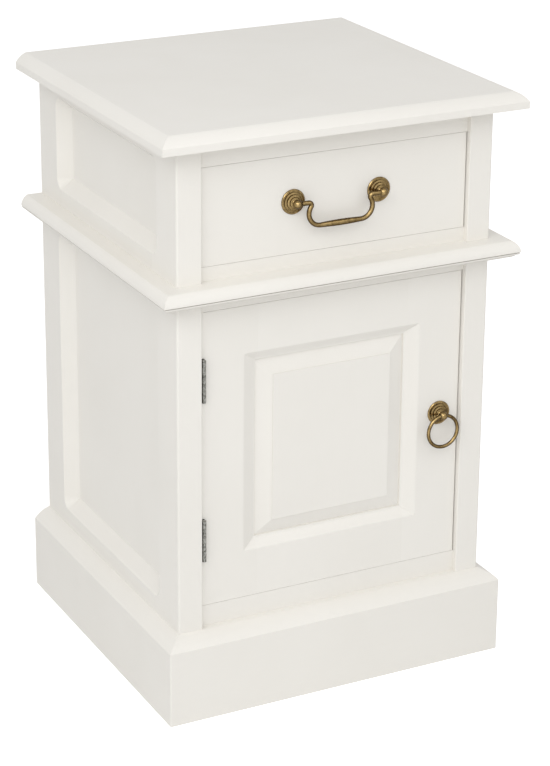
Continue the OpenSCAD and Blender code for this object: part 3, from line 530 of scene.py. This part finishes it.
def patina(name):
    """Metal that is clean where hands rub it and dark where they don't, and darker still where it is
    given dirt and painted shade.
    """
    tree, inp, end = new_group(
        name,
        [("Vector", "vector", (0, 0, 0)), ("Bright", "colour", (0.5, 0.4, 0.2, 1)),
         ("Dark", "colour", (0.2, 0.1, 0.05, 1)), ("Cloud", "value", 0.005),
         ("Patchy", "value", 0.5), ("Rubbed", "value", 0.0), ("Grime", "value", 0.0)],
        [("Colour", "colour"), ("Roughness", "value"), ("Height", "value")],
    )
    per_metre = calc(tree, "DIVIDE", 1.0, inp["Cloud"])
    clouds = noise(tree, inp["Vector"], per_metre, 4, 0.6, 0.3)
    finer = calc(tree, "MULTIPLY", per_metre, SPECK_FINENESS)
    specks = noise(tree, inp["Vector"], finer, 2, 0.6)
    patches = calc(tree, "MULTIPLY_ADD", between(tree, clouds, 0.36, 0.64), inp["Patchy"], PATINA_LEAST)
    tone = calc(tree, "ADD", patches, between(tree, specks, 0.4, 0.7, -0.08, 0.12))
    # dirt and painted shade darken the metal
    tone = calc(tree, "ADD", tone, calc(tree, "MULTIPLY", inp["Grime"], DIRT_AND_SHADE_SHOWS))
    tone = calc(tree, "SUBTRACT", tone, calc(tree, "MULTIPLY", inp["Rubbed"], RUB_SHOWS), clamp=True)
    colour = mix_colour(tree, tone, inp["Bright"], inp["Dark"])
    rough = between(tree, tone, 0.0, 1.0, METAL_CLEAN_ROUGH, METAL_DARK_ROUGH)
    finish_group(tree, end, colour=colour, roughness=rough, height=specks)
    return tree


# ---------------------------------------------------------------- materials

# turns of the pattern that lay its X along each axis of the object
GRAIN_TURN = {"x": (0, 0, 0), "y": (0, 0, -math.pi / 2), "z": (0, math.pi / 2, 0)}

# how much of the rubbed colour, and of the dust, dirt and painted shade in corners, shows, 0 to 1
PAINT_RUBBED, PAINT_DUST_AND_SHADE = 0.2, 0.25
WOOD_HANDLED, WOOD_DIRT_AND_SHADE = 0.35, 0.4
BRASS_DIRT_AND_SHADE, PLASTIC_RUBBED = 0.35, 0.3
# painted dark reflection, on cast and on turned brass
CAST_DARK_REFLECTION, TURNED_DARK_REFLECTION = 1.0, 0.6  # how dark brass goes where it's seen along the surface

DIRT_AND_SHADE_BROWN = (0.16, 0.10, 0.05, 1)
PLASTIC_PALE = (0.9, 0.9, 0.88, 1)
PLY_FIGURE = 2.2  # a peeled veneer's figure is wider than the rings of sawn pine


def new_material(name, grain="x"):
    """An empty material with its Principled shader, and the object's coordinates along the grain."""
    material = bpy.data.materials.new(name)
    material.use_nodes = True
    tree = material.node_tree
    tree.nodes.clear()
    out = put(tree, "ShaderNodeOutputMaterial")
    shader = put(tree, "ShaderNodeBsdfPrincipled")
    tree.links.new(shader.outputs[0], out.inputs["Surface"])
    place = put(tree, "ShaderNodeTexCoord").outputs["Object"]
    turned = put(tree, "ShaderNodeMapping", {"Vector": place, "Rotation": GRAIN_TURN[grain]})
    return material, tree, shader, turned.outputs[0]


def bumped(tree, shader, height, strength, distance):
    """Presses a height pattern into the surface."""
    bump = put(tree, "ShaderNodeBump", {"Height": height, "Strength": strength, "Distance": distance})
    tree.links.new(bump.outputs[0], shader.inputs["Normal"])


def satin_paint(paint, grain):
    """Brushed paint, thin along the arrises, with dust and painted shade in the corners."""
    material, tree, shader, vector = new_material(f"satin_paint_{grain}", grain)
    film = use_group(tree, paint_film, {
        "Vector": vector, "Paint": rgba(paint.colour), "Shade": rgba(paint.shade),
        "Mark": paint.brush_mark, "Roughness": paint.roughness})
    edge = use_group(tree, worn_edges, {"Width": 0.0011, "Breakup": 0.8, "Vector": vector})
    shaded_corners = use_group(tree, crevices, {"Reach": 0.004})
    rubbed = mix_colour(tree, calc(tree, "MULTIPLY", edge["Mask"], PAINT_RUBBED), film["Colour"],
                        rgba(paint.rubbed))
    # dust and painted shade in the piece's own corners
    colour = mix_colour(tree, calc(tree, "MULTIPLY", shaded_corners["Mask"], PAINT_DUST_AND_SHADE), rubbed,
                        rgba(paint.dust))
    tree.links.new(colour, shader.inputs["Base Color"])
    tree.links.new(film["Roughness"], shader.inputs["Roughness"])
    bumped(tree, shader, film["Height"], strength=0.35, distance=0.00012)
    return material


def bare_wood(name, early, late, ring, grain):
    """Unpainted board, darker along its handled edges, with dirt and painted shade in its corners."""
    material, tree, shader, vector = new_material(f"{name}_{grain}", grain)
    figure = use_group(tree, wood_figure, {
        "Vector": vector, "Early": rgba(early), "Late": rgba(late), "Ring": ring})
    edge = use_group(tree, worn_edges, {"Width": 0.0012, "Breakup": 1.0, "Vector": vector})
    shaded_corners = use_group(tree, crevices, {"Reach": 0.008})
    handled = mix_colour(tree, calc(tree, "MULTIPLY", edge["Mask"], WOOD_HANDLED), figure["Colour"],
                         rgba(late))
    # dirt and painted shade in the piece's own corners
    colour = mix_colour(tree, calc(tree, "MULTIPLY", shaded_corners["Mask"], WOOD_DIRT_AND_SHADE), handled, DIRT_AND_SHADE_BROWN)
    tree.links.new(colour, shader.inputs["Base Color"])
    tree.links.new(figure["Roughness"], shader.inputs["Roughness"])
    bumped(tree, shader, figure["Height"], strength=0.5, distance=0.0002)
    return material


def aged_brass(brass, name, reflection_dark):
    """Brass with a brown patina, with dirt and painted shade in its corners and a painted dark
    reflection where it's seen along the surface.
    """
    material, tree, shader, vector = new_material(name)
    edge = use_group(tree, worn_edges, {"Width": 0.0005, "Breakup": 0.6, "Vector": vector})
    shaded_corners = use_group(tree, crevices, {"Reach": 0.003})
    # painted dark reflection: brass goes darker where it's seen along the surface, as if it reflected a
    # dark room
    turned_away = put(tree, "ShaderNodeLayerWeight", {"Blend": 0.5}).outputs["Facing"]
    painted_reflection = between(tree, turned_away, 0.06, 0.42, 0.0, reflection_dark)
    # the darker of dirt and painted shade in corners, and the painted dark reflection
    shade_and_reflection = calc(tree, "MAXIMUM", calc(tree, "MULTIPLY", shaded_corners["Mask"], BRASS_DIRT_AND_SHADE), painted_reflection)
    skin = use_group(tree, patina, {
        "Vector": vector, "Bright": rgba(brass.bright), "Dark": rgba(brass.dark),
        "Cloud": brass.cloud, "Patchy": 0.28, "Rubbed": edge["Mask"], "Grime": shade_and_reflection})
    tree.links.new(skin["Colour"], shader.inputs["Base Color"])
    tree.links.new(skin["Roughness"], shader.inputs["Roughness"])
    shader.inputs["Metallic"].default_value = 1.0
    bumped(tree, shader, skin["Height"], strength=0.25, distance=0.00008)
    return material


def dull_steel(steel):
    """Zinc plating with tarnished spangles, with grime and painted shade in its corners."""
    material, tree, shader, vector = new_material("dull_steel")
    edge = use_group(tree, worn_edges, {"Width": 0.0005, "Breakup": 0.7, "Vector": vector})
    shaded_corners = use_group(tree, crevices, {"Reach": 0.003})
    skin = use_group(tree, patina, {
        "Vector": vector, "Bright": rgba(steel.zinc), "Dark": rgba(steel.tarnish),
        # grime and painted shade in the steel's own corners
        "Cloud": 0.0025, "Patchy": 0.6, "Rubbed": edge["Mask"], "Grime": shaded_corners["Mask"]})
    tree.links.new(skin["Colour"], shader.inputs["Base Color"])
    tree.links.new(skin["Roughness"], shader.inputs["Roughness"])
    shader.inputs["Metallic"].default_value = 1.0
    bumped(tree, shader, skin["Height"], strength=0.3, distance=0.00008)
    return material


def moulded_plastic(steel):
    """Pale plastic with the fine grain of its mould."""
    material, tree, shader, vector = new_material("moulded_plastic")
    mould_grain = noise(tree, vector, 1500)
    edge = use_group(tree, worn_edges, {"Width": 0.0006, "Breakup": 0.3, "Vector": vector})
    colour = mix_colour(tree, calc(tree, "MULTIPLY", edge["Mask"], PLASTIC_RUBBED),
                        rgba(steel.plastic), PLASTIC_PALE)
    tree.links.new(colour, shader.inputs["Base Color"])
    tree.links.new(between(tree, mould_grain, 0.3, 0.7, 0.38, 0.5), shader.inputs["Roughness"])
    bumped(tree, shader, mould_grain, strength=0.3, distance=0.00005)
    return material


# ---------------------------------------------------------------- pieces


def slot_nodes(slot):
    """The CAD nodes of one material slot."""
    return [s["node"] for s in frame["record"]["subparts"] if s["material_slot"] == slot]


def grain_of(name):
    """The axis that a board is longest along, which is how its grain runs."""
    low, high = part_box(name)
    size = high - low
    return "xyz"[max(range(3), key=lambda i: size[i])]


def dress(name, material):
    """Gives a CAD node one material."""
    piece = frame["nodes"][name]
    piece.data.materials.clear()
    piece.data.materials.append(material)


class CUPBOARD_OT_paint(bpy.types.Operator):
    """Paints the case, the door and the drawer front"""

    bl_idname = "cupboard.paint"
    bl_label = "Paint the cupboard"

    def execute(self, context):
        paint = context.scene.cupboard.paint
        coats = {grain: satin_paint(paint, grain) for grain in "xyz"}
        for name in slot_nodes("painted_wood"):
            dress(name, coats[grain_of(name)])
        return {"FINISHED"}


class CUPBOARD_OT_bare_wood(bpy.types.Operator):
    """Shows the pine of the drawer box and the rails, and the plywood of the thin boards"""

    bl_idname = "cupboard.bare_wood"
    bl_label = "Finish the bare wood"

    def execute(self, context):
        wood = context.scene.cupboard.wood
        for slot, early, late, ring in (
            ("bare_pine", wood.pine, wood.pine_late, wood.ring_width),
            ("plywood", wood.ply, wood.ply_late, wood.ring_width * PLY_FIGURE),
        ):
            planks = {g: bare_wood(slot, early, late, ring, g) for g in "xyz"}
            for name in slot_nodes(slot):
                dress(name, planks[grain_of(name)])
        return {"FINISHED"}


class CUPBOARD_OT_brass(bpy.types.Operator):
    """Ages the brass of the drawer handle and the ring pull"""

    bl_idname = "cupboard.brass"
    bl_label = "Age the brass"

    def execute(self, context):
        brass = context.scene.cupboard.brass
        cast = aged_brass(brass, "aged_brass_cast", CAST_DARK_REFLECTION)
        turned = aged_brass(brass, "aged_brass_turned", TURNED_DARK_REFLECTION)
        for name in slot_nodes("aged_brass"):
            dress(name, turned if "plate" in name else cast)
        return {"FINISHED"}


class CUPBOARD_OT_steel(bpy.types.Operator):
    """Plates the hinges, screws and bolts, and moulds the catch"""

    bl_idname = "cupboard.steel"
    bl_label = "Finish the ironmongery"

    def execute(self, context):
        steel = context.scene.cupboard.steel
        plate = dull_steel(steel)
        for name in slot_nodes("dull_steel"):
            dress(name, plate)
        mould = moulded_plastic(steel)
        for name in slot_nodes("white_plastic"):
            dress(name, mould)
        return {"FINISHED"}


# ---------------------------------------------------------------- stage

CUPBOARD_MIDDLE = Vector((0, 0, 0.4))
SOFTBOX_AWAY = 3.2
# turn from the front and rise in degrees, and side in metres
SOFTBOXES = {
    "left": (-60, 38, 1.4),
    "front": (-20, 38, 1.4),
    "low": (-30, 12, 1.6),
    "right": (30, 38, 1.4),
}
FLOOR_RADIUS = 30
FLOOR_GLOW = 0.6  # lifts the unshaded floor to white for the camera
SENSOR_WIDTH = 36


def softbox(name, turn, rise, size, power):
    """Hangs a square lamp turned from the front and raised by these degrees, aimed at the middle."""
    turn, rise = math.radians(turn), math.radians(rise)
    away = Vector((math.sin(turn) * math.cos(rise), -math.cos(turn) * math.cos(rise), math.sin(rise)))
    data = bpy.data.lights.new(name, "AREA")
    data.shape = "SQUARE"
    data.size = size
    data.energy = power
    lamp = bpy.data.objects.new(name, data)
    lamp.location = CUPBOARD_MIDDLE + away * SOFTBOX_AWAY
    lamp.rotation_mode = "QUATERNION"
    lamp.rotation_quaternion = (-away).to_track_quat("-Z", "Y")
    bpy.context.scene.collection.objects.link(lamp)


def white_world(ambient):
    """Plain light from all around, seen as white by the camera."""
    world = bpy.data.worlds.new("studio")
    world.use_nodes = True
    tree = world.node_tree
    tree.nodes.clear()
    out = put(tree, "ShaderNodeOutputWorld")
    path = put(tree, "ShaderNodeLightPath").outputs
    strength = put(tree, "ShaderNodeMix", {0: path["Is Camera Ray"], 2: ambient, 3: 1.0},
                   data_type="FLOAT")
    glow = put(tree, "ShaderNodeBackground", {"Color": (1, 1, 1, 1), "Strength": strength.outputs[0]})
    tree.links.new(glow.outputs[0], out.inputs["Surface"])
    bpy.context.scene.world = world


def pale_floor(colour):
    """A floor that keeps the cupboard's shadow, and is white where nothing shades it."""
    material = bpy.data.materials.new("pale_floor")
    material.use_nodes = True
    tree = material.node_tree
    tree.nodes.clear()
    out = put(tree, "ShaderNodeOutputMaterial")
    path = put(tree, "ShaderNodeLightPath").outputs
    matt = put(tree, "ShaderNodeBsdfDiffuse", {"Color": rgba(colour)})
    seen = calc(tree, "MULTIPLY", path["Is Camera Ray"], FLOOR_GLOW)
    glow = put(tree, "ShaderNodeEmission", {"Color": (1, 1, 1, 1), "Strength": seen})
    both = put(tree, "ShaderNodeAddShader", {0: matt.outputs[0], 1: glow.outputs[0]})
    tree.links.new(both.outputs[0], out.inputs["Surface"])
    return material


class CUPBOARD_OT_stage(bpy.types.Operator):
    """Lays the floor, hangs the lamps and places the camera"""

    bl_idname = "cupboard.stage"
    bl_label = "Set the stage"

    def execute(self, context):
        stage = context.scene.cupboard.stage
        scene = context.scene
        shape = bmesh.new()
        bmesh.ops.create_circle(shape, cap_ends=True, segments=96, radius=FLOOR_RADIUS)
        mesh = bpy.data.meshes.new("floor")
        shape.to_mesh(mesh)
        shape.free()
        floor = bpy.data.objects.new("floor", mesh)
        mesh.materials.append(pale_floor(stage.floor))
        scene.collection.objects.link(floor)

        white_world(stage.ambient)
        for side, (turn, rise, size) in SOFTBOXES.items():
            softbox(f"softbox_{side}", turn, rise, size, getattr(stage, f"{side}_lamp"))

        data = bpy.data.cameras.new("camera")
        data.sensor_width = SENSOR_WIDTH
        data.lens = stage.lens
        data.shift_x, data.shift_y = stage.rise
        data.clip_start, data.clip_end = 0.05, 100
        camera = bpy.data.objects.new("camera", data)
        axis = Vector(stage.aim) - Vector(stage.eye)
        camera.rotation_mode = "QUATERNION"
        camera.rotation_quaternion = Quaternion(axis, stage.roll) @ axis.to_track_quat("-Z", "Y")
        camera.location = stage.eye
        scene.collection.objects.link(camera)
        scene.camera = camera
        scene.view_settings.view_transform = "Standard"
        return {"FINISHED"}


# ---------------------------------------------------------------- panel and registration


class CUPBOARD_PT_main(bpy.types.Panel):
    """Lists the steps that dress the cupboard"""

    bl_idname = "CUPBOARD_PT_main"
    bl_label = "Pot Cupboard"
    bl_space_type = "VIEW_3D"
    bl_region_type = "UI"
    bl_category = "Cupboard"

    def draw(self, context):
        settings = context.scene.cupboard
        for step, group in STEPS:
            box = self.layout.box()
            box.operator(step.bl_idname)
            part = getattr(settings, group)
            for name in part.bl_rna.properties.keys():
                if name not in ("name", "rna_type"):
                    box.prop(part, name)


STEPS = (
    (CUPBOARD_OT_paint, "paint"),
    (CUPBOARD_OT_bare_wood, "wood"),
    (CUPBOARD_OT_brass, "brass"),
    (CUPBOARD_OT_steel, "steel"),
    (CUPBOARD_OT_stage, "stage"),
)

CLASSES = (
    PaintSettings,
    WoodSettings,
    BrassSettings,
    SteelSettings,
    StageSettings,
    CupboardSettings,
    *(step for step, _ in STEPS),
    CUPBOARD_PT_main,
)


def register():
    for cls in CLASSES:
        bpy.utils.register_class(cls)
    bpy.types.Scene.cupboard = PointerProperty(type=CupboardSettings)


def unregister():
    del bpy.types.Scene.cupboard
    for cls in reversed(CLASSES):
        bpy.utils.unregister_class(cls)


def main():
    register()
    bpy.ops.cupboard.paint()
    bpy.ops.cupboard.bare_wood()
    bpy.ops.cupboard.brass()
    bpy.ops.cupboard.steel()
    bpy.ops.cupboard.stage()


if __name__ == "__main__":
    main()
